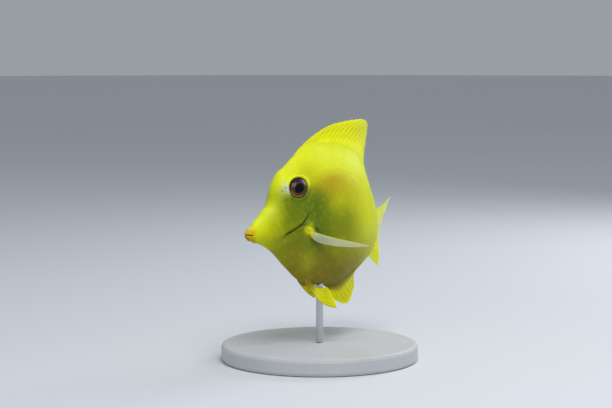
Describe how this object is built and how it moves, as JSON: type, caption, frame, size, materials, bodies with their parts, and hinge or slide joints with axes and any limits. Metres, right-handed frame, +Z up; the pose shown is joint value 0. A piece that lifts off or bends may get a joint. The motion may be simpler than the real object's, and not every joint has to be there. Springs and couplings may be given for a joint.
{
  "type": "yellow tang display model",
  "caption": "Still, life-size model of a yellow tang turning as it swims, held on a round base by one short rod.",
  "frame": {"origin": "centre of the underside of the stand's round base", "axes": "+Z up; the head points to -X and the fish's left side to -Y, with the tail bent towards +Y"},
  "size_m": [0.1002, 0.07, 0.0842],
  "materials": {
    "fish_yellow": "satin, bright lemon yellow skin with fine scales",
    "fin_yellow": "satin, bright yellow fin skin over rays",
    "pectoral_clear": "thin, nearly clear fin skin with a yellow front edge",
    "spine_white": "smooth white, like tooth",
    "eye_brown": "wet and glossy, copper brown with a dark pupil",
    "stand_grey": "satin, pale grey paint",
    "rod_steel": "brushed"
  },
  "bodies": {
    "root": {"head": "fish_yellow", "torso": "fish_yellow", "tail_base": "fish_yellow", "eye_left": "eye_brown", "eye_right": "eye_brown", "dorsal_fin": "fin_yellow", "anal_fin": "fin_yellow", "caudal_fin": "fin_yellow", "pelvic_fin_left": "fin_yellow", "pelvic_fin_right": "fin_yellow", "pectoral_fin_left": "pectoral_clear", "pectoral_fin_right": "pectoral_clear", "caudal_spine_left": "spine_white", "caudal_spine_right": "spine_white", "stand_base": "stand_grey", "stand_rod": "rod_steel"}
  },
  "joints": []
}
